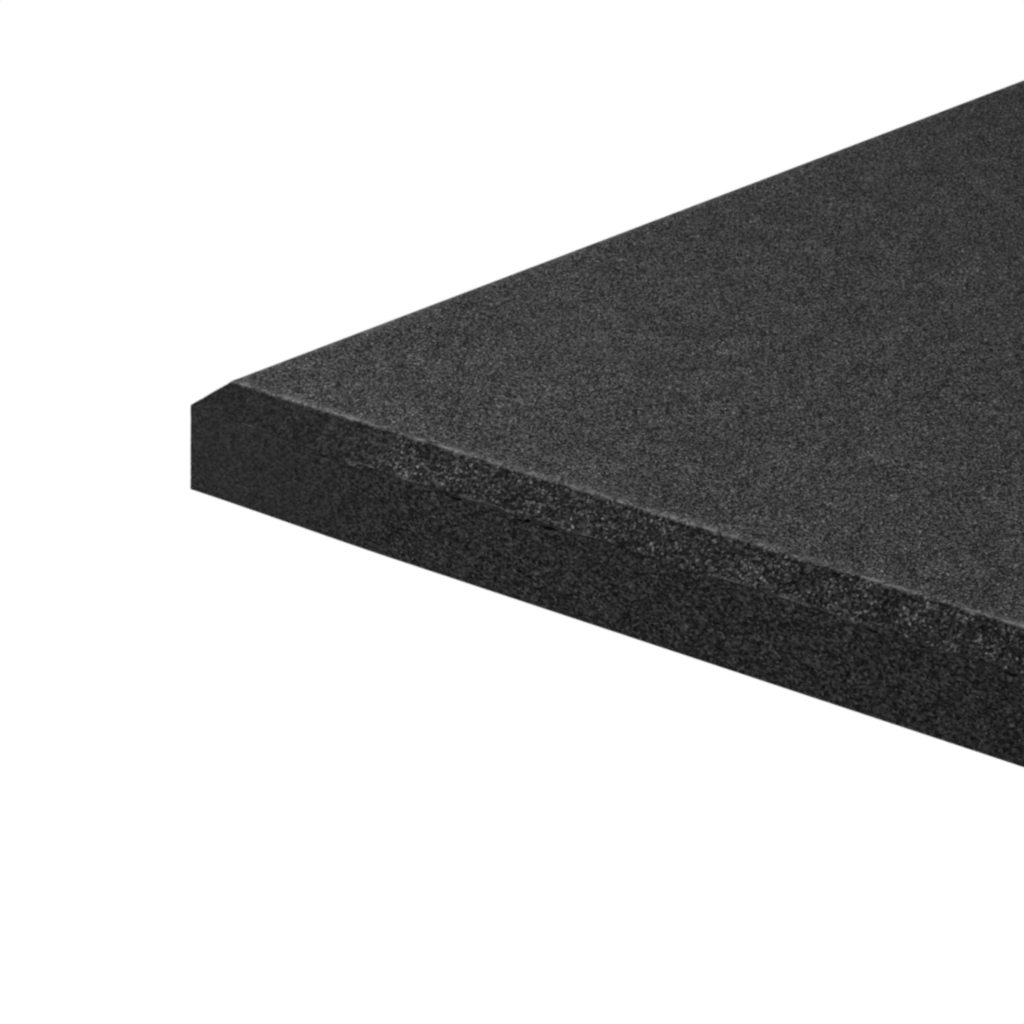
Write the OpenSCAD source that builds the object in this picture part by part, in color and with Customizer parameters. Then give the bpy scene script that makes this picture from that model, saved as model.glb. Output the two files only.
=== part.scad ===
// Foam balance pad: a flat rectangular slab to stand on, laminated from foam sheets.
// From the top down it is a moulded skin, a thin foam sheet, a film of adhesive, a thick
// foam block and a second skin. The edge of the upper sheet and its skin is cut to a bevel
// all round, and the block under them is cut straight.
// Origin: centre of the underside. +X runs along the length, +Y across it, +Z up.
// Millimetres.

/* [Pad] */
// Length of the pad, along X
pad_length = 500; // [400:5:600]
// Width of the pad, along Y
pad_width = 410; // [320:5:500]
// Thickness of the whole pad
pad_height = 38; // [30:1:60]

/* [Bevel] */
// How far the bevel leans in from the side of the block
bevel_inset = 9.2; // [6:0.2:14]
// How far the bevel comes down from the top face
bevel_drop = 9.2; // [6:0.2:12]

/* [Layers] */
// Thickness of each moulded skin
skin_thickness = 1; // [0.6:0.1:2]
// Thickness of the adhesive film
film_thickness = 0.4; // [0.2:0.1:0.8]
// How far the adhesive film stops short of the sides
film_setback = 1.2; // [0.6:0.2:3]

/* [Hidden] */
// Height of the joint between the upper sheet and the adhesive film: the foot of the bevel
joint_height = pad_height - bevel_drop;
// Height of the face that the adhesive film lies on
block_top = joint_height - film_thickness;
// Height of the face between the upper sheet and the top skin
skin_underside = pad_height - skin_thickness;

// Straight-cut layer between two heights, short of the pad's sides by setback.
module straight_layer(z_low, z_high, setback = 0) {
    translate([-pad_length / 2 + setback, -pad_width / 2 + setback, z_low])
        cube([pad_length - 2 * setback, pad_width - 2 * setback, z_high - z_low]);
}

// How far the bevelled face stands in from the side at a height.
function inset_at(z) = bevel_inset * (z - joint_height) / bevel_drop;

// Cross-section of a bevelled layer: its width across the pad, and its height up the page.
module bevel_section(span, z_low, z_high) {
    low = span / 2 - inset_at(z_low);
    high = span / 2 - inset_at(z_high);
    polygon([[-low, z_low], [low, z_low], [high, z_high], [-high, z_high]]);
}

// Layer between two heights with the bevel on all four sides, mitred at the corners.
module bevelled_layer(z_low, z_high) {
    intersection() {
        rotate([90, 0, 0])
            linear_extrude(height = pad_width, center = true)
                bevel_section(pad_length, z_low, z_high);
        rotate([90, 0, 90])
            linear_extrude(height = pad_length, center = true)
                bevel_section(pad_width, z_low, z_high);
    }
}

// Fine-grained moulded skin that is stood on.
module top_skin() {
    color("#454545") bevelled_layer(skin_underside, pad_height);
}

// Upper foam sheet, cut through to the joint by the bevel.
module upper_foam() {
    color("#303030") bevelled_layer(joint_height, skin_underside);
}

// Adhesive film between the sheet and the block, just short of the sides.
module bond_film() {
    color("#141414") straight_layer(block_top, joint_height, film_setback);
}

// Thick foam block with straight-cut sides.
module base_foam() {
    color("#2c2c2c") straight_layer(skin_thickness, block_top);
}

// Moulded skin that lies on the floor.
module bottom_skin() {
    color("#333333") straight_layer(0, skin_thickness);
}

top_skin();
upper_foam();
bond_film();
base_foam();
bottom_skin();
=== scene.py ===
"""Foam balance pad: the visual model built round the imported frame, and a plain studio.

The pad is a sheet laminate, so every piece is a level rectangular layer. Each layer is meshed
from its node's own box, cut-foam and moulded-skin texture is then raised on it by Geometry
Nodes, and each finish is a procedural material in real millimetres.
"""

import logging
import math
from dataclasses import dataclass, field
from enum import Enum
from typing import Any, ClassVar

import bpy
import numpy as np
from mathutils import Matrix, Vector

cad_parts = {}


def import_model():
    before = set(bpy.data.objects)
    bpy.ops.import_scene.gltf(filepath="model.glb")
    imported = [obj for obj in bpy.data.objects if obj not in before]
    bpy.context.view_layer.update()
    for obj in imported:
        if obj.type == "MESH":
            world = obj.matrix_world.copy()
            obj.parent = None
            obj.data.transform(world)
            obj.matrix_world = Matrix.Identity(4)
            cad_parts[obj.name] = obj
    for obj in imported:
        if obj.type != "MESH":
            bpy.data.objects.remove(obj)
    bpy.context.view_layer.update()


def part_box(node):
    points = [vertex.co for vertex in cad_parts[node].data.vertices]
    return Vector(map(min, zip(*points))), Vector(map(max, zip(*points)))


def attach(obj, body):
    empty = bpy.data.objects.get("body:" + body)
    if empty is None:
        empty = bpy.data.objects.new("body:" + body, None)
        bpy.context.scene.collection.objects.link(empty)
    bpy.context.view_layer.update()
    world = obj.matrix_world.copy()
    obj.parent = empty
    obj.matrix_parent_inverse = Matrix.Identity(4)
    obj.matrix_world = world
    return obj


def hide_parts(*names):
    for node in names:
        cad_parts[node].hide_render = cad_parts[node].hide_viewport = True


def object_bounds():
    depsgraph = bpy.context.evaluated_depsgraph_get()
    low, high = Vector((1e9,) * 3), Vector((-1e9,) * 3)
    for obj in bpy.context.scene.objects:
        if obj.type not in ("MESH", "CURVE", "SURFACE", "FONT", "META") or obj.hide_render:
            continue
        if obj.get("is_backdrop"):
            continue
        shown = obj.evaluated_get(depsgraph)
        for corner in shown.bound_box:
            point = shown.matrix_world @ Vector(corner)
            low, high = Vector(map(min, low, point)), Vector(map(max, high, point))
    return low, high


LOG = logging.getLogger("balance_pad")
MM = 0.001
BODY = "root"
CLEAN_CUT = 0.6  # share of the open cells that marks even the cleanest stretch of a cut
CELL_FLATNESS = 1.4  # the foam was pressed as it rose: its cells are wider than high by this


# ---------------------------------------------------------------- shared helpers


def linear(code: str) -> tuple[float, float, float, float]:
    """Turns an sRGB hex colour into the linear colour that shaders take.

    Args:
        code: Six hex digits after a hash, such as "#2b2b2c".

    Returns:
        Red, green and blue in linear light, and an alpha of 1.
    """
    parts = [int(code[i : i + 2], 16) / 255 for i in (1, 3, 5)]
    flat = [c / 12.92 if c <= 0.04045 else ((c + 0.055) / 1.055) ** 2.4 for c in parts]
    return (flat[0], flat[1], flat[2], 1.0)


def add_node(
    tree: bpy.types.NodeTree,
    kind: str,
    settings: dict[str, Any] | None = None,
    values: dict[int | str, Any] | None = None,
    links: dict[int | str, bpy.types.NodeSocket] | None = None,
) -> bpy.types.Node:
    """Adds one node to a tree, with its settings, its plain values and what feeds it.

    Args:
        tree: The shader or geometry tree.
        kind: The node's type, such as "ShaderNodeMath".
        settings: Properties of the node itself.
        values: Input sockets, by name or place, and the plain value of each.
        links: Input sockets, by name or place, and the output socket that feeds each.

    Returns:
        The new node.
    """
    node = tree.nodes.new(kind)
    for name, value in (settings or {}).items():
        setattr(node, name, value)
    for socket, value in (values or {}).items():
        node.inputs[socket].default_value = value
    for socket, source in (links or {}).items():
        tree.links.new(source, node.inputs[socket])
    return node


def combine(
    tree: bpy.types.NodeTree, operation: str, first: Any, second: Any, clamp: bool = False
) -> bpy.types.NodeSocket:
    """Does one piece of arithmetic in a tree.

    Args:
        tree: The shader or geometry tree.
        operation: The Math node's operation, such as "MULTIPLY".
        first: A socket or a number.
        second: A socket or a number.
        clamp: Whether the result is held between 0 and 1.

    Returns:
        The socket that holds the result.
    """
    numbers = {i: v for i, v in enumerate((first, second)) if isinstance(v, (int, float))}
    sockets = {i: v for i, v in enumerate((first, second)) if i not in numbers}
    settings = {"operation": operation, "use_clamp": clamp}
    return add_node(tree, "ShaderNodeMath", settings, numbers, sockets).outputs[0]


def remap(
    tree: bpy.types.NodeTree,
    value: bpy.types.NodeSocket,
    span: tuple[float, float],
    result: tuple[float, float] = (0.0, 1.0),
    smooth: bool = True,
) -> bpy.types.NodeSocket:
    """Maps a value from one span to another, held at the ends.

    Args:
        tree: The shader or geometry tree.
        value: The socket to map.
        span: Where the value starts and ends.
        result: What those two ends become.
        smooth: Whether the ends are eased.

    Returns:
        The socket that holds the result.
    """
    easing = "SMOOTHSTEP" if smooth else "LINEAR"
    ends = {1: span[0], 2: span[1], 3: result[0], 4: result[1]}
    node = add_node(tree, "ShaderNodeMapRange", {"interpolation_type": easing}, ends, {0: value})
    return node.outputs[0]


# ---------------------------------------------------------------- finishes


class Attribute(Enum):
    """Names of the values that a layer's mesh carries for its trees and its finish."""

    OUTWARD = "outward"  # direction that faces out of the cut face
    CUT = "cut"  # how strongly the open cells mark the face
    LIP = "lip"  # how far the edge stands out as a torn lip, or is torn back where it is below 0
    GRAIN = "grain"  # how strongly the moulded relief marks the face
    RIM = "rim"  # how strongly a highlight is painted, 1 at an edge and 0 inside the face
    PIT = "pit"  # how deep in an open cell or a torn-back gap the face lies; shade is painted there
    WALL = "wall"  # how much of a cell wall stands there, where a highlight is painted
    TORN = "torn"  # how far the place is pulled out as a torn lip, where a highlight is painted


@dataclass(frozen=True)
class Finish:
    """What every finish shares: its name, its pattern's tools and a Principled shader."""

    name: str
    flat: float = 1.0  # how many times wider than high the pattern's grains lie
    crisp: float = 0.7  # share of the pattern that is grains, while the rest is soft noise
    soft_span: tuple[float, float] = (0.2, 0.8)  # where nearly all of that noise lies
    patchy: float = 0.0  # how strongly broad patches show
    relief: float = 0.1 * MM  # height of the pattern
    raised: float = 1.0  # how strongly that height turns the light
    roughness: float = 0.6
    uneven: float = 0.1  # how much rougher than that it is where the pattern is high
    uneven_span: tuple[float, float] = (0.3, 0.7)  # from where that starts to where it ends
    ior: float = 1.5
    shine: float = 0.02

    def start(self) -> tuple[bpy.types.Material, bpy.types.NodeTree, bpy.types.Node]:
        """Makes the material with its Principled shader and its output.

        Returns:
            The material, its tree and the Principled node.
        """
        material = bpy.data.materials.new(self.name)
        material.use_nodes = True
        tree = material.node_tree
        tree.nodes.clear()
        shader = add_node(tree, "ShaderNodeBsdfPrincipled")
        add_node(tree, "ShaderNodeOutputMaterial", links={"Surface": shader.outputs[0]})
        return material, tree, shader

    def place(self, tree: bpy.types.NodeTree) -> bpy.types.NodeSocket:
        """Gives the piece's own coordinates, in metres, with the heights stretched by flat."""
        own = add_node(tree, "ShaderNodeTexCoord").outputs["Object"]
        stretch = {1: (1.0, 1.0, self.flat)}
        settings = {"operation": "MULTIPLY"}
        return add_node(tree, "ShaderNodeVectorMath", settings, stretch, {0: own}).outputs[0]

    def noise(
        self, tree: bpy.types.NodeTree, size: float, detail: float, roughness: float = 0.5
    ) -> bpy.types.NodeSocket:
        """Gives soft noise whose lumps are about a size across.

        Args:
            tree: The material's tree.
            size: Width of a lump, in metres.
            detail: How many finer octaves are added.
            roughness: How strong those octaves are.

        Returns:
            The noise, from 0 to 1.
        """
        values = {"Scale": 1 / size, "Detail": detail, "Roughness": roughness}
        feed = {"Vector": self.place(tree)}
        return add_node(tree, "ShaderNodeTexNoise", None, values, feed).outputs[0]

    def grains(self, tree: bpy.types.NodeTree, size: float) -> bpy.types.Node:
        """Packs grains of a size side by side, each with its own random colour.

        Args:
            tree: The material's tree.
            size: Width of a grain, in metres.

        Returns:
            The Voronoi node, with the outputs Distance and Color.
        """
        bend = add_node(
            tree, "ShaderNodeTexNoise", None, {"Scale": 0.6 / size, "Detail": 1.0},
            {"Vector": self.place(tree)},
        )
        centred = add_node(
            tree, "ShaderNodeVectorMath", {"operation": "MULTIPLY_ADD"},
            {1: (size,) * 3, 2: (-size / 2,) * 3}, {0: bend.outputs["Color"]},
        )
        bent = add_node(
            tree, "ShaderNodeVectorMath", {"operation": "ADD"}, None,
            {0: self.place(tree), 1: centred.outputs[0]},
        )
        return add_node(
            tree, "ShaderNodeTexVoronoi", {"feature": "F1"}, {"Scale": 1 / size},
            {"Vector": bent.outputs[0]},
        )

    def speckle(
        self, tree: bpy.types.NodeTree, size: float, soft: bpy.types.NodeSocket
    ) -> bpy.types.NodeSocket:
        """Blends grains, each of its own random tone, with soft noise.

        Args:
            tree: The material's tree.
            size: Width of a grain, in metres.
            soft: The noise.

        Returns:
            The pattern, from 0 to 1.
        """
        tones = {0: self.grains(tree, size).outputs["Color"]}
        own = add_node(tree, "ShaderNodeSeparateColor", links=tones).outputs[0]
        spread = remap(tree, soft, self.soft_span, smooth=False)
        sharp = combine(tree, "MULTIPLY", own, self.crisp)
        return combine(tree, "ADD", sharp, combine(tree, "MULTIPLY", spread, 1 - self.crisp))

    def patches(
        self, tree: bpy.types.NodeTree, size: float, detail: float
    ) -> bpy.types.NodeSocket:
        """Gives broad soft patches, as far above 0 as below it.

        Args:
            tree: The material's tree.
            size: Width of a patch, in metres.
            detail: How many finer octaves are added.

        Returns:
            What the patches add to the pattern.
        """
        centred = combine(tree, "SUBTRACT", self.noise(tree, size, detail), 0.5)
        return combine(tree, "MULTIPLY", centred, self.patchy)

    def dress(
        self,
        tree: bpy.types.NodeTree,
        shader: bpy.types.Node,
        colour: bpy.types.NodeSocket,
        height: bpy.types.NodeSocket,
        rough: bpy.types.NodeSocket,
    ) -> None:
        """Feeds the Principled shader.

        Args:
            tree: The material's tree.
            shader: The Principled node.
            colour: The colour.
            height: The pattern that is raised.
            rough: The pattern by which the roughness changes.
        """
        values = {"Strength": self.raised, "Distance": self.relief}
        bump = add_node(tree, "ShaderNodeBump", None, values, {"Height": height})
        ends = (self.roughness - self.uneven, self.roughness + self.uneven)
        tree.links.new(colour, shader.inputs["Base Color"])
        tree.links.new(bump.outputs[0], shader.inputs["Normal"])
        changed = remap(tree, rough, self.uneven_span, ends)
        tree.links.new(changed, shader.inputs["Roughness"])
        shader.inputs["IOR"].default_value = self.ior
        shader.inputs["Specular IOR Level"].default_value = self.shine

    def ramp(
        self, tree: bpy.types.NodeTree, value: bpy.types.NodeSocket, stops: dict[float, str]
    ) -> bpy.types.NodeSocket:
        """Turns a value into a colour.

        Args:
            tree: The material's tree.
            value: The value, from 0 to 1.
            stops: Each stop's place and its sRGB hex colour.

        Returns:
            The colour.
        """
        node = add_node(tree, "ShaderNodeValToRGB", links={0: value})
        elements = node.color_ramp.elements
        while len(elements) < len(stops):
            elements.new(0.5)
        for element, (at, code) in zip(elements, sorted(stops.items())):
            element.position = at
            element.color = linear(code)
        return node.outputs[0]

    def mix(
        self,
        tree: bpy.types.NodeTree,
        share: bpy.types.NodeSocket,
        first: bpy.types.NodeSocket,
        second: bpy.types.NodeSocket | str,
    ) -> bpy.types.NodeSocket:
        """Mixes two colours.

        Args:
            tree: The material's tree.
            share: How much of the second shows, from 0 to 1.
            first: The first colour.
            second: The second colour, or its sRGB hex code.

        Returns:
            The mixed colour.
        """
        values = {7: linear(second)} if isinstance(second, str) else {}
        links = {0: share, 6: first}
        if not isinstance(second, str):
            links[7] = second
        node = add_node(tree, "ShaderNodeMix", {"data_type": "RGBA"}, values, links)
        return node.outputs[2]

    def carried(self, tree: bpy.types.NodeTree, name: Attribute) -> bpy.types.NodeSocket:
        """Gives a value that the mesh carries."""
        settings = {"attribute_name": name.value}
        return add_node(tree, "ShaderNodeAttribute", settings).outputs["Fac"]


@dataclass(frozen=True)
class MouldedSkin(Finish):
    """Skin of closed-cell foam, moulded against a fine-blasted tool: matt, with an even grain.

    The eye gets a neutral charcoal with a fine salt-and-pepper grain, a few paler glints in it,
    and a paler band beside the bevel, which is a painted highlight of the edge.
    """

    grain: float = 0.45 * MM  # width of a grain
    lump: float = 0.9 * MM  # width of a low lump under the grain
    mottle: float = 18 * MM  # width of a patch where the moulding was slightly uneven
    patchy: float = 0.12
    dash: float = 2.2 * MM  # length of a dash of the painted highlight beside the bevel
    dark: str = "#000000"
    mid: str = "#181818"
    pale: str = "#494949"
    glint: str = "#949494"
    # colour of the highlight painted along the cut edge
    highlight_band: str = "#555555"
    relief: float = 0.2 * MM
    roughness: float = 0.75
    uneven: float = -0.08  # the tops of the grains are rubbed smoother
    uneven_span: tuple[float, float] = (0.2, 0.8)
    shine: float = 0.03

    def build(self) -> bpy.types.Material:
        """Makes the material.

        Returns:
            The finished material.
        """
        material, tree, shader = self.start()
        grit = self.speckle(tree, self.grain, self.noise(tree, self.lump, 2))
        shade = combine(tree, "ADD", grit, self.patches(tree, self.mottle, 3))
        stops = {0.15: self.dark, 0.5: self.mid, 0.8: self.pale, 1.0: self.glint}
        colour = self.ramp(tree, shade, stops)
        # Painted highlight: the band along the cut edge, broken into dashes, is mixed towards a
        # paler colour.
        dashes = remap(tree, self.noise(tree, self.dash, 2), (0.4, 0.6), (0.2, 1.0))
        highlight_mask = combine(tree, "MULTIPLY", self.carried(tree, Attribute.RIM), dashes)
        highlight_mask = combine(tree, "MULTIPLY", highlight_mask, remap(tree, grit, (0.1, 0.6), (0.5, 1.0)))
        colour = self.mix(tree, highlight_mask, colour, self.highlight_band)
        self.dress(tree, shader, colour, grit, grit)
        return material


@dataclass(frozen=True)
class CutFoam(Finish):
    """Closed-cell foam where a knife went through it: small open bubbles with torn walls.

    The eye gets a fine salt and pepper: black where a bubble is open, which is painted shade, and
    pale where a torn cell wall catches the light, which is a painted highlight. It is calmest at the
    corners, where the knife went in clean, and its torn edge at the seam is painted paler as its
    highlight.
    """

    flat: float = CELL_FLATNESS
    cell: float = 0.8 * MM  # width of a cell
    gather: float = 9 * MM  # width of a patch where the pale cells gather
    patchy: float = 0.35
    middle: float = 0.4  # the pattern's value that stays where the cut is calm
    calm: float = 0.5  # how much of the pattern shows in the cleanest stretch of the cut
    # also the shade painted in open cells and in the seam's torn-back gaps
    pit: str = "#030303"
    ground: str = "#111111"
    lit: str = "#1e1e1e"
    wall: str = "#313131"
    glint: str = "#6c6c6c"
    # painted highlight on a standing cell wall
    stands: str = "#3a3a3a"
    # painted highlight on a torn lip and on the rim beside the skin's arris
    torn: str = "#484848"
    relief: float = 0.3 * MM
    roughness: float = 0.8

    def build(self) -> bpy.types.Material:
        """Makes the material.

        Returns:
            The finished material.
        """
        material, tree, shader = self.start()
        fine = self.noise(tree, 0.8 * self.cell, 2, 0.6)
        lit = self.speckle(tree, self.cell, fine)
        gather = self.patches(tree, self.gather, 2)
        cut = self.carried(tree, Attribute.CUT)
        strength = remap(tree, cut, (CLEAN_CUT, 1.0), (self.calm, 1.0))
        strays = combine(tree, "SUBTRACT", combine(tree, "ADD", lit, gather), self.middle)
        shade = combine(tree, "ADD", combine(tree, "MULTIPLY", strays, strength), self.middle)
        stops = {0.15: self.pit, 0.38: self.ground, 0.6: self.lit, 0.8: self.wall, 1.0: self.glint}
        colour = self.ramp(tree, shade, stops)
        # Painted shade in open cells and in the seam's torn-back gaps.
        colour = self.mix(tree, self.carried(tree, Attribute.PIT), colour, self.pit)
        ragged = remap(tree, lit, (0.2, 0.75), (0.3, 1.0))
        # Painted highlight where a torn cell wall stands.
        wall_highlight = combine(tree, "MULTIPLY", self.carried(tree, Attribute.WALL), ragged)
        colour = self.mix(tree, wall_highlight, colour, self.stands)
        # Painted highlight on torn lips and on the rim beside the skin's arris.
        pulled = combine(tree, "MAXIMUM", self.carried(tree, Attribute.TORN),
                         self.carried(tree, Attribute.RIM))
        colour = self.mix(tree, combine(tree, "MULTIPLY", pulled, ragged), colour, self.torn)
        self.dress(tree, shader, colour, lit, fine)
        return material


@dataclass(frozen=True)
class FinelyCutFoam(CutFoam):
    """The same foam where a sharper blade went straight down through it.

    The eye gets a darker, closer and more even speckle than on the bevel.
    """

    cell: float = 0.9 * MM
    patchy: float = 0.1
    middle: float = 0.55
    pit: str = "#050505"
    ground: str = "#151515"
    lit: str = "#212121"
    wall: str = "#2d2d2d"
    glint: str = "#4c4c4c"


@dataclass(frozen=True)
class ContactAdhesive(Finish):
    """Dried contact adhesive, in uneven beads: black once, and now dulled by dust of the foam.

    The eye gets a thin charcoal line, as dark as the foam beside it, with a faint soft sheen.
    """

    lump: float = 2.5 * MM  # width of a bead
    dark: str = "#141414"
    pale: str = "#282828"
    raised: float = 0.6
    ior: float = 1.47
    shine: float = 0.15  # dust from the cut foam has taken most of its gloss

    def build(self) -> bpy.types.Material:
        """Makes the material.

        Returns:
            The finished material.
        """
        material, tree, shader = self.start()
        lumps = self.noise(tree, self.lump, 3)
        colour = self.ramp(tree, lumps, {0.35: self.dark, 0.65: self.pale})
        self.dress(tree, shader, colour, lumps, lumps)
        return material


# ---------------------------------------------------------------- layers


@dataclass(frozen=True)
class Slab:
    """A level rectangular layer's own box, in metres."""

    half_x: float
    half_y: float
    low: float
    high: float

    @classmethod
    def of(cls, node: str) -> "Slab":
        """Reads a layer's box from its CAD node.

        Args:
            node: The node's name.

        Returns:
            The box.
        """
        low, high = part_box(node)
        return cls((high.x - low.x) / 2, (high.y - low.y) / 2, low.z, high.z)


@dataclass(frozen=True)
class Row:
    """One loop of vertices round a layer, and what its mesh carries there."""

    inset: float  # how far the loop stands in from the layer's box
    z: float
    cut: float = 0.0
    lip: float = 0.0
    grain: float = 0.0
    rim: float = 0.0
    bow: float = 0.0  # how much of the seam's bow the loop takes
    lift: float = 0.0  # and how much of the lift of the pad's lower corners


@dataclass(frozen=True)
class Bow:
    """How an edge round the pad strays from level: it comes down from each corner."""

    corner: float  # how far above its level the edge is at a corner
    middle: float  # and how far away from the corners
    run: float  # distance from a corner over which it comes down

    def away(self, flat: np.ndarray) -> np.ndarray:
        """Gives how far points round the sides are from a corner, as an eased share of the run.

        Args:
            flat: The X and Y of a loop's points, one point to a line.

        Returns:
            One share for each point, from 0 at a corner to 1.
        """
        near = (flat.max(0) - np.abs(flat)).max(1)
        share = np.clip(near / self.run, 0, 1)
        return share * share * (3 - 2 * share)

    def height(self, flat: np.ndarray) -> np.ndarray:
        """Gives how far the edge is above its level at a loop's points.

        Args:
            flat: The X and Y of the points, one point to a line.

        Returns:
            One height for each point.
        """
        return self.corner + (self.middle - self.corner) * self.away(flat)


@dataclass
class Shell:
    """Closed mesh of a layer: loops of vertices up its sides, and a grid on each broad face."""

    slab: Slab
    rows: list[Row]  # from the edge of the lower face, up the sides, to that of the upper face
    step: float  # distance between vertices along the sides
    low_cells: int  # side steps in one cell of the lower face's grid
    high_cells: int  # side steps in one cell of the upper face's grid
    lean: float = 0.0  # sine of the angle by which the cut face leans back
    seam: Bow = Bow(1.2 * MM, -0.8 * MM, 60 * MM)
    foot: Bow = Bow(0.9 * MM, 0.0, 85 * MM)
    tearing: Bow = Bow(0.0, 1.0, 115 * MM)  # how torn the cut is: cleanest at the corners
    pulling: Bow = Bow(0.0, 1.0, 100 * MM)  # and how far the seam's edge is torn there

    def __post_init__(self) -> None:
        """Works out the steps along X and Y, a whole number of the cells of both grids."""
        whole = math.lcm(self.low_cells, self.high_cells)
        self.nx, self.ny = (
            max(1, round(2 * half / self.step / whole)) * whole
            for half in (self.slab.half_x, self.slab.half_y)
        )
        self.around = 2 * (self.nx + self.ny)

    def loop(self, row: Row) -> np.ndarray:
        """Gives the points of one loop, anticlockwise seen from above, from the low corner.

        Args:
            row: The loop's inset and height.

        Returns:
            One point to a line.
        """
        x, y = self.slab.half_x - row.inset, self.slab.half_y - row.inset
        along_x = np.linspace(-x, x, self.nx + 1)[:-1]
        along_y = np.linspace(-y, y, self.ny + 1)[:-1]
        sides = [
            np.column_stack([along_x, np.full(self.nx, -y)]),
            np.column_stack([np.full(self.ny, x), along_y]),
            np.column_stack([-along_x, np.full(self.nx, y)]),
            np.column_stack([np.full(self.ny, -x), -along_y]),
        ]
        flat = np.concatenate(sides)
        strays = row.bow * self.seam.height(flat) + row.lift * self.foot.height(flat)
        return np.column_stack([flat, row.z + strays])

    def outward(self) -> np.ndarray:
        """Gives the direction out of the cut face at each point of a loop, one to a line."""
        level = math.sqrt(1 - self.lean**2)
        ways = ((0, -1), (1, 0), (0, 1), (-1, 0))
        sides = [
            np.tile((x * level, y * level, self.lean), (n, 1))
            for (x, y), n in zip(ways, (self.nx, self.ny) * 2)
        ]
        corners = [(sides[i][-1] + sides[i - 1][-1]) / 2 for i in range(4)]
        for side, corner in zip(sides, corners):
            side[0] = corner
        return np.concatenate(sides)

    def grid(self, border: int, inner: int, cells: int) -> tuple[np.ndarray, list[list[int]]]:
        """Numbers the grid that fills a loop, and lists its faces as seen from above.

        Args:
            border: Index of the loop's first vertex.
            inner: Index that the first vertex inside the loop gets.
            cells: Side steps in one cell of the grid.

        Returns:
            The inner vertices as shares of the loop's box, and the faces.
        """
        nx, ny = self.nx // cells, self.ny // cells
        index = np.zeros((nx + 1, ny + 1), int)
        index[:, 0] = np.arange(nx + 1) * cells
        index[nx, :] = self.nx + np.arange(ny + 1) * cells
        index[:, ny] = self.nx + self.ny + np.arange(nx, -1, -1) * cells
        index[0, 1:] = 2 * self.nx + self.ny + np.arange(ny - 1, -1, -1) * cells
        index = border + index % self.around
        index[1:nx, 1:ny] = inner + np.arange((nx - 1) * (ny - 1)).reshape(nx - 1, ny - 1)
        across, along = np.meshgrid(
            np.arange(1, nx) / nx, np.arange(1, ny) / ny, indexing="ij"
        )
        shares = np.column_stack([across.ravel(), along.ravel()])
        faces = []
        for i in range(nx):
            for j in range(ny):
                corners = (index[i, j], index[i + 1, j], index[i + 1, j + 1], index[i, j + 1])
                on_edge = (j == 0, i == nx - 1, j == ny - 1, i == 0)
                face = []
                for corner, edge in zip(corners, on_edge):
                    face.append(int(corner))
                    if edge:
                        face += [
                            border + (int(corner) - border + k) % self.around
                            for k in range(1, cells)
                        ]
                faces.append(face)
        return shares, faces

    def build(self, name: str) -> bpy.types.Object:
        """Makes the mesh, with its attributes.

        Args:
            name: The piece's name.

        Returns:
            The object, at the origin.
        """
        loops = [self.loop(row) for row in self.rows]
        points = list(loops)
        faces = []
        for r in range(len(self.rows) - 1):
            low = r * self.around + np.arange(self.around)
            right = np.roll(low, -1)
            faces += np.column_stack(
                [low, right, right + self.around, low + self.around]
            ).tolist()
        start = len(self.rows) * self.around
        for r, cells, upward in ((0, self.low_cells, False), (-1, self.high_cells, True)):
            first = (r % len(self.rows)) * self.around
            shares, found = self.grid(first, start, cells)
            low, high = loops[r].min(0), loops[r].max(0)
            inner = low[:2] + shares * (high - low)[:2]
            points.append(np.column_stack([inner, np.full(len(inner), low[2])]))
            faces += found if upward else [face[::-1] for face in found]
            start += len(inner)
        mesh = bpy.data.meshes.new(name)
        mesh.from_pydata(np.concatenate(points).tolist(), [], faces)
        self.carry(mesh, len(points[-2]), len(points[-1]))
        mesh.shade_smooth()
        piece = bpy.data.objects.new(name, mesh)
        bpy.context.scene.collection.objects.link(piece)
        return piece

    def carry(self, mesh: bpy.types.Mesh, low_inner: int, high_inner: int) -> None:
        """Writes what each row carries onto the mesh.

        Args:
            mesh: The layer's mesh.
            low_inner: Vertices inside the lower face's loop.
            high_inner: Vertices inside the upper face's loop.
        """
        flat = self.loop(self.rows[0])[:, :2]
        torn = self.tearing.height(flat)
        even = np.ones(self.around)
        shares = {
            Attribute.CUT: CLEAN_CUT + (1 - CLEAN_CUT) * torn,
            Attribute.LIP: self.pulling.height(flat),
            Attribute.GRAIN: even,
            Attribute.RIM: even,
        }
        for name, share in shares.items():
            per_row = [getattr(row, name.value) for row in self.rows]
            inner = name is Attribute.GRAIN
            values = np.concatenate(
                [
                    np.outer(per_row, share).ravel(),
                    np.full(low_inner, per_row[0] * inner),
                    np.full(high_inner, per_row[-1] * inner),
                ]
            )
            held = mesh.attributes.new(name.value, "FLOAT", "POINT")
            held.data.foreach_set("value", values.astype(np.float32))
        ways = np.concatenate(
            [
                np.tile(self.outward(), (len(self.rows), 1)),
                np.zeros((low_inner + high_inner, 3)),
            ]
        )
        held = mesh.attributes.new(Attribute.OUTWARD.value, "FLOAT_VECTOR", "POINT")
        held.data.foreach_set("vector", ways.astype(np.float32).ravel())


class Socket(Enum):
    """Kinds of named input on a geometry tree."""

    SIZE = "NodeSocketFloat"
    COUNT = "NodeSocketInt"
    FINISH = "NodeSocketMaterial"


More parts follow.
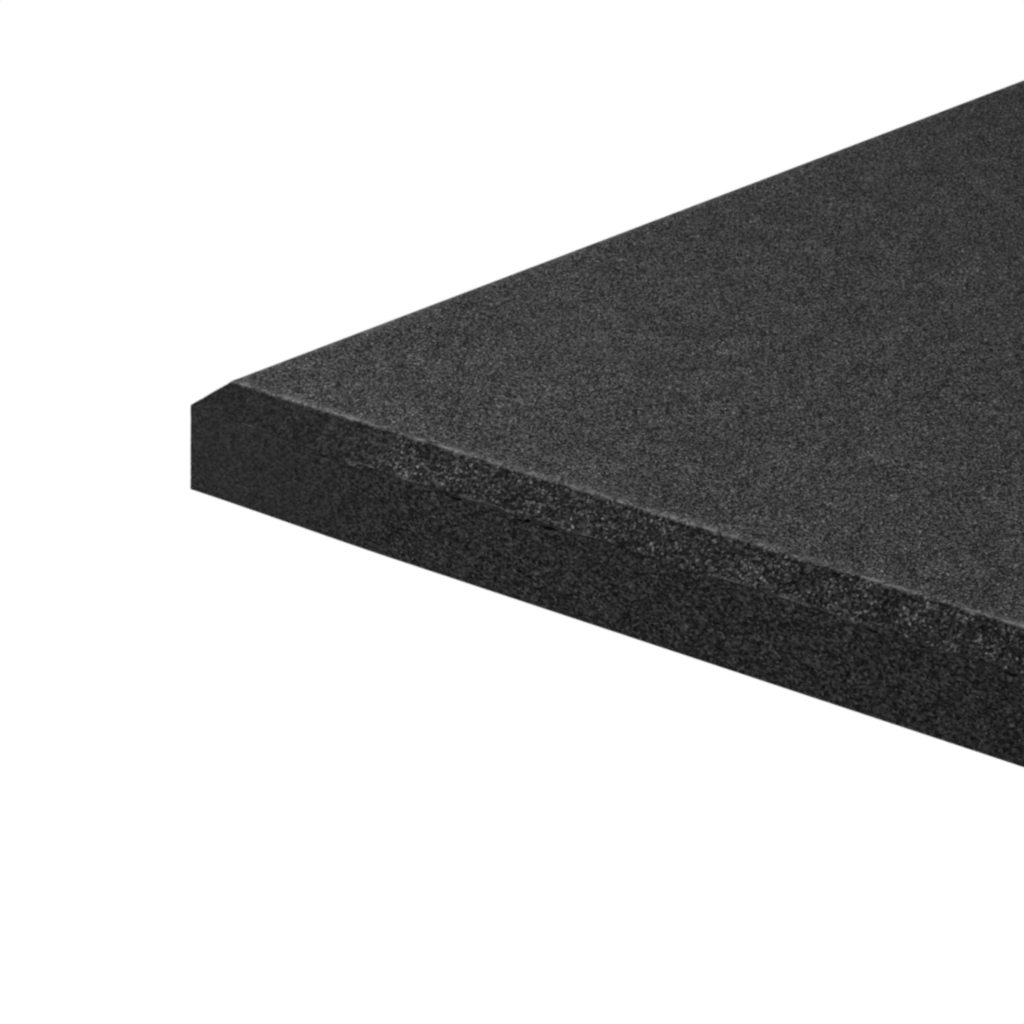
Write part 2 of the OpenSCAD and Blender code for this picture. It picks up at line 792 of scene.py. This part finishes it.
@dataclass
class Tree:
    """A geometry tree with named inputs, run once on a piece and then made plain mesh."""

    name: str
    inputs: dict[str, Socket] = field(default_factory=dict)

    def start(self) -> tuple[bpy.types.NodeTree, bpy.types.Node]:
        """Makes the empty tree with its interface.

        Returns:
            The tree and its Group Input node.
        """
        tree = bpy.data.node_groups.new(self.name, "GeometryNodeTree")
        for way in ("INPUT", "OUTPUT"):
            tree.interface.new_socket("Geometry", in_out=way, socket_type="NodeSocketGeometry")
        for label, kind in self.inputs.items():
            tree.interface.new_socket(label, in_out="INPUT", socket_type=kind.value)
        return tree, add_node(tree, "NodeGroupInput")

    def end(
        self, tree: bpy.types.NodeTree, given: bpy.types.Node, made: bpy.types.NodeSocket
    ) -> None:
        """Closes the tree with Realize Instances and Set Material.

        Args:
            tree: The tree.
            given: Its Group Input node.
            made: The geometry that it made.
        """
        real = add_node(tree, "GeometryNodeRealizeInstances", links={0: made})
        dressed = add_node(
            tree, "GeometryNodeSetMaterial",
            links={"Geometry": real.outputs[0], "Material": given.outputs["Finish"]},
        )
        cut = add_node(
            tree, "GeometryNodeInputNamedAttribute", {"data_type": "FLOAT"},
            {"Name": Attribute.CUT.value},
        ).outputs[0]
        sliced = add_node(
            tree, "GeometryNodeSetMaterial",
            links={
                "Geometry": dressed.outputs[0],
                "Selection": combine(tree, "GREATER_THAN", cut, 0.5),
                "Material": given.outputs["Cut Finish"],
            },
        )
        add_node(tree, "NodeGroupOutput", links={0: sliced.outputs[0]})

    def apply(
        self, tree: bpy.types.NodeTree, piece: bpy.types.Object, values: dict[str, Any]
    ) -> bpy.types.Object:
        """Runs the tree on a piece and keeps the result as its plain mesh.

        Args:
            tree: The finished tree.
            piece: The piece that the tree works on.
            values: Every named input's value.

        Returns:
            The same piece.
        """
        modifier = piece.modifiers.new(self.name, "NODES")
        modifier.node_group = tree
        for item in tree.interface.items_tree:
            if item.in_out == "INPUT" and item.name in values:
                modifier[item.identifier] = values[item.name]
        graph = bpy.context.evaluated_depsgraph_get()
        mesh = bpy.data.meshes.new_from_object(piece.evaluated_get(graph), depsgraph=graph)
        piece.modifiers.remove(modifier)
        old = piece.data
        piece.data = mesh
        bpy.data.meshes.remove(old)
        mesh.name = piece.name
        return piece


class Spread(Enum):
    """Where each kind of soft noise starts to show, and how much more of it is its full strength."""

    TEARS = (0.25, 0.5)
    RAGGED = (0.1, 0.6)  # the ragged edge of a torn lip
    WALLS = (0.3, 0.5)  # where standing cell walls gather
    TEETH = (0.35, 0.3)
    FRAYED = (0.42, 0.15)  # the stretches of the seam that have teeth
    MOULDED = (0.2, 0.6)  # the skin's grain and swell


@dataclass
class Relief(Tree):
    """Tree that raises the texture of a layer: open cells, torn edges and moulded swell.

    Every size is an input. A layer's mesh says, by its attributes, where each one works.
    """

    LIP_SPAN: ClassVar[float] = 0.12  # how soon past Lip Start a lip reaches its full height
    BOWL: ClassVar[tuple[float, float]] = (0.15, 0.6)  # from a bubble's open middle to its wall
    OPEN: ClassVar[tuple[float, float]] = (0.3, 0.95)  # from a closed bubble to one cut wide open
    STEEP: ClassVar[float] = 25.0  # how sharply bubbles with a standing wall differ from the rest
    FRAYED_TEETH: ClassVar[float] = 9.0  # how many teeth wide a frayed stretch of the seam is

    name: str = "relief"
    inputs: dict[str, Socket] = field(default_factory=dict)

    def __post_init__(self) -> None:
        """Names the inputs and builds the tree."""
        sizes = (
            "Cell Width", "Cell Flatness", "Cell Depth", "Wall Share", "Wall Height",
            "Tear Width", "Tear Depth", "Lip Length", "Lip Start", "Lip Height", "Fray Width",
            "Fray Drop", "Rim Floor", "Grain Width", "Grain Height", "Swell Width",
            "Swell Height", "Seed Shift",
        )
        finishes = {"Finish": Socket.FINISH, "Cut Finish": Socket.FINISH}
        self.inputs = {label: Socket.SIZE for label in sizes} | finishes
        self.tree, given = self.start()
        tree = self.tree
        get = given.outputs
        here = add_node(tree, "GeometryNodeInputPosition").outputs[0]
        shift = add_node(tree, "ShaderNodeCombineXYZ", links={0: get["Seed Shift"]}).outputs[0]
        where = add_node(
            tree, "ShaderNodeVectorMath", {"operation": "ADD"}, None, {0: here, 1: shift}
        ).outputs[0]
        cut = self.carried(Attribute.CUT)
        pit, wall = self.cells(where, get)
        pit, wall = combine(tree, "MULTIPLY", pit, cut), combine(tree, "MULTIPLY", wall, cut)
        tears = self.lumps(where, get["Tear Width"], *Spread.TEARS.value)
        inward = combine(tree, "ADD", combine(tree, "MULTIPLY", pit, get["Cell Depth"]),
                         combine(tree, "MULTIPLY", combine(tree, "MULTIPLY", tears, cut),
                                 get["Tear Depth"]))
        runs = self.lumps(where, get["Lip Length"], get["Lip Start"], self.LIP_SPAN)
        edge = self.lumps(where, get["Cell Width"], *Spread.RAGGED.value)
        ragged = combine(tree, "MULTIPLY", runs, edge)
        pulled = combine(tree, "MULTIPLY", ragged, self.carried(Attribute.LIP))
        lip = combine(tree, "MULTIPLY", pulled, get["Lip Height"])
        outward = combine(tree, "ADD", lip, combine(tree, "MULTIPLY", wall, get["Wall Height"]))
        out = combine(tree, "SUBTRACT", outward, inward)
        way = add_node(
            tree, "GeometryNodeInputNamedAttribute", {"data_type": "FLOAT_VECTOR"},
            {"Name": Attribute.OUTWARD.value},
        ).outputs[0]
        sideways = add_node(
            tree, "ShaderNodeVectorMath", {"operation": "SCALE"}, None, {0: way, "Scale": out}
        ).outputs[0]
        grain = self.lumps(where, get["Grain Width"], *Spread.MOULDED.value)
        swell = self.lumps(where, get["Swell Width"], *Spread.MOULDED.value)
        sunk = combine(tree, "ADD", combine(tree, "MULTIPLY", grain, get["Grain Height"]),
                       combine(tree, "MULTIPLY", swell, get["Swell Height"]))
        down = combine(tree, "ADD",
                       combine(tree, "MULTIPLY", sunk, self.carried(Attribute.GRAIN)),
                       combine(tree, "MULTIPLY", self.fray(here, get),
                               combine(tree, "ABSOLUTE", self.carried(Attribute.LIP), 0.0)))
        level = add_node(tree, "ShaderNodeCombineXYZ", links={2: down}).outputs[0]
        moved = add_node(
            tree, "ShaderNodeVectorMath", {"operation": "SUBTRACT"}, None, {0: sideways, 1: level}
        ).outputs[0]
        # Stretches along the skin's cut edge where its highlight is painted in full, with a floor
        # between them.
        patchy = combine(tree, "MAXIMUM", runs, get["Rim Floor"])
        # Where the finishes paint shade, in open cells and torn-back gaps, and highlights, on walls,
        # torn lips and the rim.
        stored = {
            Attribute.PIT: combine(tree, "SUBTRACT", pit, combine(
                tree, "MINIMUM", pulled, 0.0), clamp=True),
            Attribute.WALL: wall,
            Attribute.TORN: combine(tree, "MAXIMUM", pulled, 0.0),
            Attribute.RIM: combine(tree, "MULTIPLY", self.carried(Attribute.RIM), patchy),
        }
        made = get["Geometry"]
        for name, value in stored.items():
            made = add_node(
                tree, "GeometryNodeStoreNamedAttribute",
                {"data_type": "FLOAT", "domain": "POINT"}, {"Name": name.value},
                {"Geometry": made, "Value": value},
            ).outputs[0]
        raised = add_node(
            tree, "GeometryNodeSetPosition", None, None, {"Geometry": made, "Offset": moved}
        )
        self.end(tree, given, raised.outputs[0])

    def carried(self, name: Attribute) -> bpy.types.NodeSocket:
        """Gives a value that the mesh carries."""
        kind, values = "GeometryNodeInputNamedAttribute", {"Name": name.value}
        return add_node(self.tree, kind, {"data_type": "FLOAT"}, values).outputs[0]

    def cells(
        self, where: bpy.types.NodeSocket, get: bpy.types.bpy_prop_collection
    ) -> tuple[bpy.types.NodeSocket, bpy.types.NodeSocket]:
        """Packs bubbles side by side: some cut open, and some whose torn wall still stands.

        Args:
            where: The place.
            get: The tree's inputs.

        Returns:
            How open and how walled the place is, each 1 at the middle of such a bubble.
        """
        tree = self.tree
        stretch = add_node(
            tree, "ShaderNodeCombineXYZ", None, {0: 1.0, 1: 1.0}, {2: get["Cell Flatness"]}
        ).outputs[0]
        stretched = add_node(
            tree, "ShaderNodeVectorMath", {"operation": "MULTIPLY"}, None, {0: where, 1: stretch}
        ).outputs[0]
        found = add_node(
            tree, "ShaderNodeTexVoronoi", {"feature": "F1"}, None,
            {"Vector": stretched, "Scale": combine(tree, "DIVIDE", 1.0, get["Cell Width"])},
        )
        own = add_node(tree, "ShaderNodeSeparateXYZ", links={0: found.outputs["Color"]})
        bowl = remap(tree, found.outputs["Distance"], self.BOWL, (1.0, 0.0))
        pit = combine(tree, "MULTIPLY", bowl, remap(tree, own.outputs[0], self.OPEN))
        gather = self.lumps(where, get["Tear Width"], *Spread.WALLS.value)
        share = combine(tree, "MULTIPLY", gather, get["Wall Share"])
        over = combine(tree, "SUBTRACT", combine(tree, "ADD", own.outputs[1], share), 1.0)
        stands = combine(tree, "MULTIPLY", over, self.STEEP, clamp=True)
        return pit, combine(tree, "MULTIPLY", bowl, stands)

    def fray(
        self, here: bpy.types.NodeSocket, get: bpy.types.bpy_prop_collection
    ) -> bpy.types.NodeSocket:
        """Gives how far the seam hangs down, the same in every layer that meets there.

        Args:
            here: The place, without the layer's own seed shift.
            get: The tree's inputs.

        Returns:
            The drop, in metres.
        """
        tree = self.tree
        flat = add_node(
            tree, "ShaderNodeVectorMath", {"operation": "MULTIPLY"}, {1: (1, 1, 0)}, {0: here}
        ).outputs[0]
        stretch = combine(tree, "MULTIPLY", get["Fray Width"], self.FRAYED_TEETH)
        teeth = self.lumps(flat, get["Fray Width"], *Spread.TEETH.value)
        frayed = combine(tree, "MULTIPLY", teeth, self.lumps(flat, stretch, *Spread.FRAYED.value))
        return combine(tree, "MULTIPLY", frayed, get["Fray Drop"])

    def lumps(
        self,
        where: bpy.types.NodeSocket,
        width: bpy.types.NodeSocket,
        start: Any,
        span: float,
    ) -> bpy.types.NodeSocket:
        """Gives soft lumps.

        Args:
            where: The place.
            width: Width of a lump.
            start: The noise's value that becomes 0, as a number or a socket.
            span: How much more of it becomes 1.

        Returns:
            The lumps, from 0 to 1.
        """
        scale = combine(self.tree, "DIVIDE", 1.0, width)
        found = add_node(
            self.tree, "ShaderNodeTexNoise", None, {"Detail": 1.0},
            {"Vector": where, "Scale": scale},
        )
        over = combine(self.tree, "SUBTRACT", found.outputs[0], start)
        return combine(self.tree, "DIVIDE", over, span, clamp=True)

    def raise_on(
        self,
        piece: bpy.types.Object,
        finish: bpy.types.Material,
        cut_finish: bpy.types.Material,
        **sizes: float,
    ) -> bpy.types.Object:
        """Raises the texture on a piece.

        Args:
            piece: The layer.
            finish: Its material.
            cut_finish: The material where a knife went through it.
            sizes: The inputs that aren't 0, by name in lower case with _ for a space.

        Returns:
            The same piece, as plain mesh.
        """
        whole = ("Width", "Length", "Flatness")
        widths = {label: 1.0 for label in self.inputs if label.endswith(whole)}
        given = {label.replace("_", " ").title(): size for label, size in sizes.items()}
        finishes = {"Finish": finish, "Cut Finish": cut_finish}
        return self.apply(self.tree, piece, widths | given | finishes)


@dataclass
class Layer:
    """What the pad's layers share: how their faces are laid out and how they are put in place."""

    relief: Relief
    plain: float = 5 * MM  # how far in from its edge a broad face starts to be level
    eased: float = 3.5 * MM  # how far in such a face still follows the seam
    nick: float = 0.5 * MM  # how far in the loop beside a torn edge stands
    low_cells: int = 10  # side steps in one cell of the lower face's grid
    high_cells: int = 10  # side steps in one cell of the upper face's grid
    seed_shift: float = 0.0  # metres by which the layer's patterns are moved from the others'

    @staticmethod
    def bite(i: int) -> float:
        """Gives how strongly cells mark the loop that stands i loops up a cut from its edge."""
        return min(1.0, 0.55 + i / 4)

    def settle(self, piece: bpy.types.Object, node: str, slot: str) -> bpy.types.Object:
        """Puts a finished layer in place of its CAD node.

        Args:
            piece: The layer.
            node: The CAD node that it stands for.
            slot: The record's material slot; not used.

        Returns:
            The same piece.
        """
        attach(piece, BODY)
        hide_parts(node)
        return piece


@dataclass
class TopSkin(Layer):
    """The moulded skin that is stood on, cut through at the bevel."""

    step: float = 0.5 * MM
    arris: float = 0.8 * MM  # radius to which the cut edge is rubbed round
    arris_rows: int = 4
    highlight_band: float = 9 * MM  # how far in from the cut edge a highlight is painted on the skin
    highlight_peak: float = 0.3  # share of that width where it is palest
    highlight_rows: int = 12
    highlight_ease: float = 0.35  # how much of the pallor eases off over the whole width
    cut_highlight: float = 0.8  # how strongly that painted highlight reaches onto the top of the cut face as well
    cut_loops: tuple[float, ...] = (0.33, 0.67, 1.0)  # the loops' places up the cut face
    rubbed_grain: float = 0.3  # share of the grain that is left on the rubbed arris
    patch: float = 6 * MM  # length of a patch of painted highlight along the cut edge
    patch_start: float = 0.4  # the higher, the fewer such patches
    patch_floor: float = 0.3  # how strong the painted highlight is between the patches
    swell: float = 0.12 * MM
    swell_width: float = 45 * MM
    grain: float = 0.08 * MM
    grain_width: float = 1.8 * MM
    plain: float = 3 * MM
    low_cells: int = 8
    high_cells: int = 2

    def rows(self, slab: Slab, lean: float) -> list[Row]:
        """Lists the loops: the lower edge, the cut edge, its rounded arris and the rim, which carry
        a painted highlight.

        Args:
            slab: The skin's box.
            lean: How far the bevel moves in for each metre that it rises.

        Returns:
            The loops, from the lowest.
        """
        thick = slab.high - slab.low
        slope = math.atan2(1, lean)
        tangent = self.arris * math.tan(slope / 2)
        rows = [Row(self.plain, slab.low), Row(0.0, slab.low, cut=1.0)]
        rise = thick - tangent * math.sin(slope)
        for share in self.cut_loops:
            # The painted highlight reaches onto the top of the cut face.
            highlight_share = self.cut_highlight * share**2
            rows.append(Row(lean * rise * share, slab.low + rise * share, cut=1.0, rim=highlight_share))
        centre = lean * thick + tangent
        # The rounded arris carries the full painted highlight.
        for i in range(1, self.arris_rows + 1):
            share = i / self.arris_rows
            angle = slope * (1 - share)
            inset = centre - self.arris * math.sin(angle)
            z = slab.high - self.arris * (1 - math.cos(angle))
            rows.append(Row(inset, z, grain=self.rubbed_grain, rim=1.0))
        # Inward of the arris the painted highlight fades over the band.
        for i in range(1, self.highlight_rows + 1):
            share = i / self.highlight_rows
            sharp = max(0.0, 1 - share / self.highlight_peak)
            rim = (1 - share) ** 2 * (self.highlight_ease + (1 - self.highlight_ease) * sharp)
            grain = self.rubbed_grain + (1 - self.rubbed_grain) * share
            rows.append(Row(centre + self.highlight_band * share, slab.high, grain=grain, rim=rim))
        return rows

    def build(
        self,
        lean: float,
        finish: bpy.types.Material,
        cut_finish: bpy.types.Material,
        bevel: "UpperFoam",
    ) -> bpy.types.Object:
        """Builds the skin.

        Args:
            lean: How far the bevel moves in for each metre that it rises.
            finish: The moulded skin's material.
            cut_finish: The coarsely cut foam's material.
            bevel: The sheet under the skin, whose bevel the skin's cut edge carries on.

        Returns:
            The piece.
        """
        slab = Slab.of("top_skin")
        sine = math.sin(math.atan(lean))
        rows = self.rows(slab, lean)
        shell = Shell(slab, rows, self.step, self.low_cells, self.high_cells, sine)
        piece = self.relief.raise_on(
            shell.build("moulded_top_skin"), finish, cut_finish, **bevel.cells(),
            lip_length=self.patch, lip_start=self.patch_start, rim_floor=self.patch_floor,
            grain_width=self.grain_width, grain_height=self.grain,
            swell_width=self.swell_width, swell_height=self.swell,
        )
        return self.settle(piece, "top_skin", "moulded_skin")


@dataclass
class UpperFoam(Layer):
    """The upper foam sheet, whose cut edge is the bevel."""

    step: float = 0.36 * MM
    cell: float = 1.0 * MM
    cell_depth: float = 0.3 * MM
    wall_share: float = 0.2  # share of the cells whose wall stands, where such cells gather
    wall_height: float = 0.16 * MM
    tear: float = 6 * MM  # width of a shallow hollow that the knife tore
    tear_depth: float = 0.25 * MM
    lip_length: float = 16 * MM
    lip_start: float = 0.5  # the higher, the fewer torn lips
    lip_height: float = 0.5 * MM
    lip_reach: float = 0.8 * MM  # how far up the bevel a lip begins
    lips: Bow = Bow(0.0, 1.0, 45 * MM)  # the lips start close to the corners
    fray: float = 3.5 * MM  # width of a tooth of the frayed seam
    fray_drop: float = 1.8 * MM
    roof: float = 4 * MM  # how far in the upper face starts to be plain, under the skin
    low_cells: int = 12
    high_cells: int = 12
    seed_shift: float = 0.72

    def cells(self) -> dict[str, float]:
        """Gives the sizes of the bevel's cells, for every layer that the bevel cuts."""
        return {
            "cell_width": self.cell,
            "cell_flatness": CELL_FLATNESS,
            "cell_depth": self.cell_depth,
            "wall_share": self.wall_share,
            "wall_height": self.wall_height,
            "tear_width": self.tear,
            "tear_depth": self.tear_depth,
            "seed_shift": self.seed_shift,
        }

    def fraying(self) -> dict[str, float]:
        """Gives the sizes of the frayed seam, for every layer that meets there."""
        return {"fray_width": self.fray, "fray_drop": self.fray_drop}

    def rows(self, slab: Slab, lean: float) -> list[Row]:
        """Lists the loops: the lower face's edge, the torn lip, and the bevel up to the skin.

        Args:
            slab: The sheet's box.
            lean: How far the bevel moves in for each metre that it rises.

        Returns:
            The loops, from the lowest.
        """
        thick = slab.high - slab.low
        rows = [
            Row(self.plain, slab.low),
            Row(self.eased, slab.low, bow=1.0),
            Row(self.nick, slab.low, cut=0.3, lip=0.8, bow=1.0),
        ]
        count = round(thick * math.hypot(1, lean) / self.step)
        for i in range(count + 1):
            share = i / count
            up = thick * share
            lip = max(0.0, 1 - up / self.lip_reach)
            rows.append(
                Row(lean * up, slab.low + up, cut=self.bite(i), lip=lip, bow=1 - share)
            )
        rows.append(Row(lean * thick + self.roof, slab.high))
        return rows

    def build(self, lean: float, finish: bpy.types.Material) -> bpy.types.Object:
        """Builds the sheet.

        Args:
            lean: How far the bevel moves in for each metre that it rises.
            finish: The coarsely cut foam's material.

        Returns:
            The piece.
        """
        slab = Slab.of("upper_foam")
        sine = math.sin(math.atan(lean))
        shell = Shell(
            slab, self.rows(slab, lean), self.step, self.low_cells, self.high_cells, sine,
            pulling=self.lips,
        )
        piece = self.relief.raise_on(
            shell.build("bevelled_upper_foam"), finish, finish, **self.cells(),
            **self.fraying(), lip_length=self.lip_length, lip_start=self.lip_start,
            lip_height=self.lip_height,
        )
        return self.settle(piece, "upper_foam", "upper_foam")


@dataclass
class BondFilm(Layer):
    """The adhesive film, squeezed out nearly to the sides, and short of them in some stretches."""

    step: float = 0.8 * MM
    squeezed: float = 1.1 * MM  # how far past its node the film is squeezed out
    bulge: float = 0.1 * MM  # how far its edge swells at half height
    bead: float = 4 * MM  # width of a bead along its edge
    run: float = 22 * MM  # length of a stretch where it is short
    start: float = 0.54  # the higher, the fewer such stretches
    short: float = 1.6 * MM  # how far it falls short there
    eased: float = 3 * MM
    seed_shift: float = 1.17

    def build(self, finish: bpy.types.Material, bevel: UpperFoam) -> bpy.types.Object:
        """Builds the film.

        Args:
            finish: The adhesive's material.
            bevel: The sheet above, whose frayed edge the film follows.

        Returns:
            The piece.
        """
        slab = Slab.of("bond_film")
        middle = (slab.low + slab.high) / 2
        edge = self.bulge - self.squeezed
        rows = [
            Row(self.plain, slab.low),
            Row(self.eased, slab.low, bow=1.0),
            Row(edge, slab.low, lip=-1.0, bow=1.0),
            Row(-self.squeezed, middle, lip=-1.0, bow=1.0),
            Row(edge, slab.high, lip=-1.0, bow=1.0),
            Row(self.eased, slab.high, bow=1.0),
            Row(self.plain, slab.high),
        ]
        shell = Shell(slab, rows, self.step, self.low_cells, self.high_cells)
        piece = self.relief.raise_on(
            shell.build("squeezed_bond_film"), finish, finish, cell_width=self.bead,
            lip_length=self.run, lip_start=self.start, lip_height=self.short,
            **bevel.fraying(), seed_shift=self.seed_shift,
        )
        return self.settle(piece, "bond_film", "adhesive")


@dataclass
class BaseFoam(Layer):
    """The thick foam block, cut straight down its sides."""

    step: float = 0.5 * MM
    cell: float = 1.4 * MM
    cell_depth: float = 0.25 * MM
    tear: float = 6 * MM
    tear_depth: float = 0.18 * MM
    crumbled: float = 2.4 * MM  # how far down the upper edge is torn where the seam gapes
    brow: float = 1.6  # how fast the tear grows towards the edge, until it is at its full gape
    gape: float = 2.4 * MM  # how far it is torn back there
    gap_length: float = 11 * MM  # length of a gap in the seam
    gap_start: float = 0.56  # the higher, the fewer gaps
    seed_shift: float = 2.07

    def rows(self, slab: Slab) -> list[Row]:
        """Lists the loops, from the lower face's edge up the side to the torn upper edge.

        Args:
            slab: The block's box.

        Returns:
            The loops, from the lowest.
        """
        rows = [Row(self.plain, slab.low)]
        count = round((slab.high - slab.low) / self.step)
        for i in range(count + 1):
            z = slab.low + (slab.high - slab.low) * i / count
            near = min(1.0, max(0.0, self.brow * (1 - (slab.high - z) / self.crumbled)))
            share = i / count
            rows.append(Row(0.0, z, cut=self.bite(i), lip=-near, bow=share, lift=1 - share))
        rows += [
            Row(self.nick, slab.high, cut=0.5, lip=-1.0, bow=1.0),
            Row(self.eased, slab.high, bow=1.0),
            Row(self.plain, slab.high),
        ]
        return rows

    def build(self, finish: bpy.types.Material, bevel: UpperFoam) -> bpy.types.Object:
        """Builds the block.

        Args:
            finish: The finely cut foam's material.
            bevel: The sheet above, whose frayed edge the block follows.

        Returns:
            The piece.
        """
        slab = Slab.of("base_foam")
        shell = Shell(slab, self.rows(slab), self.step, self.low_cells, self.high_cells)
        piece = self.relief.raise_on(
            shell.build("straight_cut_base_foam"), finish, finish, cell_width=self.cell,
            cell_flatness=CELL_FLATNESS, cell_depth=self.cell_depth, tear_width=self.tear,
            tear_depth=self.tear_depth, lip_length=self.gap_length, lip_start=self.gap_start,
            lip_height=self.gape, **bevel.fraying(), seed_shift=self.seed_shift,
        )
        return self.settle(piece, "base_foam", "base_foam")


@dataclass
class BottomSkin(Layer):
    """The moulded skin that lies on the floor."""

    step: float = 0.8 * MM
    grain: float = 0.06 * MM
    grain_width: float = 2.4 * MM
    cell: float = 1.1 * MM
    cell_depth: float = 0.16 * MM
    side_loops: tuple[float, ...] = (0.3, 0.65, 1.0)  # the loops' places up the cut side
    nick: float = 0.3 * MM
    tuck: float = 4 * MM  # how far in the lower face starts to be plain
    low_cells: int = 3
    high_cells: int = 6
    seed_shift: float = 2.41

    def build(
        self, finish: bpy.types.Material, cut_finish: bpy.types.Material
    ) -> bpy.types.Object:
        """Builds the skin.

        Args:
            finish: The underside's material.
            cut_finish: The finely cut foam's material.

        Returns:
            The piece.
        """
        slab = Slab.of("bottom_skin")
        thick = slab.high - slab.low
        rows = [
            Row(self.tuck, slab.low, grain=-1.0),
            Row(self.nick, slab.low, grain=-0.5, cut=0.3, lift=1.0),
        ]
        rows += [Row(0.0, slab.low + up * thick, cut=1.0, lift=1.0) for up in self.side_loops]
        rows.append(Row(self.plain, slab.high))
        shell = Shell(slab, rows, self.step, self.low_cells, self.high_cells)
        piece = self.relief.raise_on(
            shell.build("moulded_bottom_skin"), finish, cut_finish, cell_width=self.cell,
            cell_depth=self.cell_depth, grain_width=self.grain_width,
            grain_height=self.grain, seed_shift=self.seed_shift,
        )
        return self.settle(piece, "bottom_skin", "underside_skin")


@dataclass
class BalancePad:
    """The whole pad: five layers, built from the top down."""

    def build(self) -> list[bpy.types.Object]:
        """Builds and dresses every layer.

        Returns:
            The pieces.
        """
        relief = Relief()
        skin, sheet = Slab.of("top_skin"), Slab.of("upper_foam")
        lean = (sheet.half_x - skin.half_x) / (sheet.high - sheet.low)
        moulded = MouldedSkin("moulded foam skin").build()
        coarse = CutFoam("coarsely cut closed-cell foam").build()
        fine = FinelyCutFoam("finely cut closed-cell foam").build()
        bevel = UpperFoam(relief)
        return [
            TopSkin(relief).build(lean, moulded, coarse, bevel),
            bevel.build(lean, coarse),
            BondFilm(relief).build(ContactAdhesive("dried contact adhesive").build(), bevel),
            BaseFoam(relief).build(fine, bevel),
            BottomSkin(relief).build(moulded, fine),
        ]


# ---------------------------------------------------------------- studio


@dataclass
class Studio:
    """Plain pale floor, soft light, and the camera close to one corner of the pad."""

    lens: float = 156.8  # long lens, in millimetres
    sensor: float = 36.0  # width of the sensor, in millimetres
    nearest: float = 0.1  # nothing nearer than this is drawn
    farthest: float = 50.0  # nor anything farther
    distance: float = 1.3248
    azimuth: float = -52.33  # degrees; 0 looks along +Y
    elevation: float = 21.66
    roll: float = 1.667
    past_end: float = 19.5 * MM  # the aim lies this far outside the pad's end
    along_end: float = 146.1 * MM  # and this far along that end from the corner
    floor_half: float = 12.0
    floor_glow: float = 1.0
    sky_strength: float = 0.6
    sky_shade: str = "#ffffff"
    key_place: tuple[float, float, float] = (-0.75, 0.6, 0.7)
    key_size: float = 0.4
    key_power: float = 23.0  # watts
    softness: float = 2.6  # width over which the lens blurs each point, in dots of the render

    def floor(self) -> None:
        """Lays the floor just under the pad: a light table, evenly white from below."""
        half = self.floor_half
        corners = [(-half, -half, 0), (half, -half, 0), (half, half, 0), (-half, half, 0)]
        mesh = bpy.data.meshes.new("studio_floor")
        mesh.from_pydata(corners, [], [(0, 1, 2, 3)])
        floor = bpy.data.objects.new("studio_floor", mesh)
        bpy.context.scene.collection.objects.link(floor)
        opal = bpy.data.materials.new("opal glass lit from below")
        opal.use_nodes = True
        opal.node_tree.nodes.clear()
        values = {"Strength": self.floor_glow}
        glow = add_node(opal.node_tree, "ShaderNodeEmission", None, values)
        add_node(opal.node_tree, "ShaderNodeOutputMaterial", links={0: glow.outputs[0]})
        mesh.materials.append(opal)
        floor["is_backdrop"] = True

    def sky(self) -> None:
        """Surrounds the set with even white light."""
        world = bpy.data.worlds.new("white surround")
        world.use_nodes = True
        background = world.node_tree.nodes["Background"]
        background.inputs["Color"].default_value = linear(self.sky_shade)
        background.inputs["Strength"].default_value = self.sky_strength
        bpy.context.scene.world = world

    def softbox(
        self, name: str, place: tuple[float, float, float], aim: Vector, size: float, power: float
    ) -> None:
        """Hangs one square soft light.

        Args:
            name: The light's name.
            place: Where it hangs, in metres.
            aim: What it points at.
            size: Its width, in metres.
            power: Its power, in watts.
        """
        lamp = bpy.data.lights.new(name, "AREA")
        lamp.shape, lamp.size, lamp.energy = "SQUARE", size, power
        light = bpy.data.objects.new(name, lamp)
        light.location = place
        light.visible_camera = False
        light.rotation_euler = (aim - Vector(place)).to_track_quat("-Z", "Y").to_euler()
        bpy.context.scene.collection.objects.link(light)

    def camera(self, pad: Slab) -> None:
        """Sets up the camera.

        Args:
            pad: The whole pad's box.
        """
        aim = Vector((-pad.half_x - self.past_end, pad.half_y - self.along_end, pad.high))
        turn, rise = math.radians(self.azimuth), math.radians(self.elevation)
        back = Vector(
            (math.sin(turn) * math.cos(rise), -math.cos(turn) * math.cos(rise), math.sin(rise))
        )
        data = bpy.data.cameras.new("camera")
        data.lens, data.sensor_width = self.lens, self.sensor
        data.clip_start, data.clip_end = self.nearest, self.farthest
        camera = bpy.data.objects.new("camera", data)
        spin = Matrix.Rotation(math.radians(self.roll), 4, "Z")
        facing = (-back).to_track_quat("-Z", "Y").to_matrix().to_4x4()
        camera.matrix_world = Matrix.Translation(aim + back * self.distance) @ facing @ spin
        bpy.context.scene.collection.objects.link(camera)
        bpy.context.scene.camera = camera

    def build(self, pad: Slab) -> None:
        """Builds the whole set round the pad.

        Args:
            pad: The whole pad's box.
        """
        self.floor()
        self.sky()
        corner = Vector((-pad.half_x, pad.half_y, pad.high))
        self.softbox("key softbox", self.key_place, corner, self.key_size, self.key_power)
        self.camera(pad)
        bpy.context.scene.view_settings.view_transform = "Standard"
        bpy.context.scene.cycles.filter_width = self.softness


def whole_pad() -> Slab:
    """Gives the box of everything shown, in metres."""
    low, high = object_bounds()
    return Slab((high.x - low.x) / 2, (high.y - low.y) / 2, low.z, high.z)


def main() -> None:
    """Loads the frame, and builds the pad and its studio."""
    logging.basicConfig(level=logging.INFO, format="%(name)s: %(message)s")
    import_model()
    Studio().build(whole_pad())
    for piece in BalancePad().build():
        LOG.info("%s: %d faces", piece.name, len(piece.data.polygons))


if __name__ == "__main__":
    main()
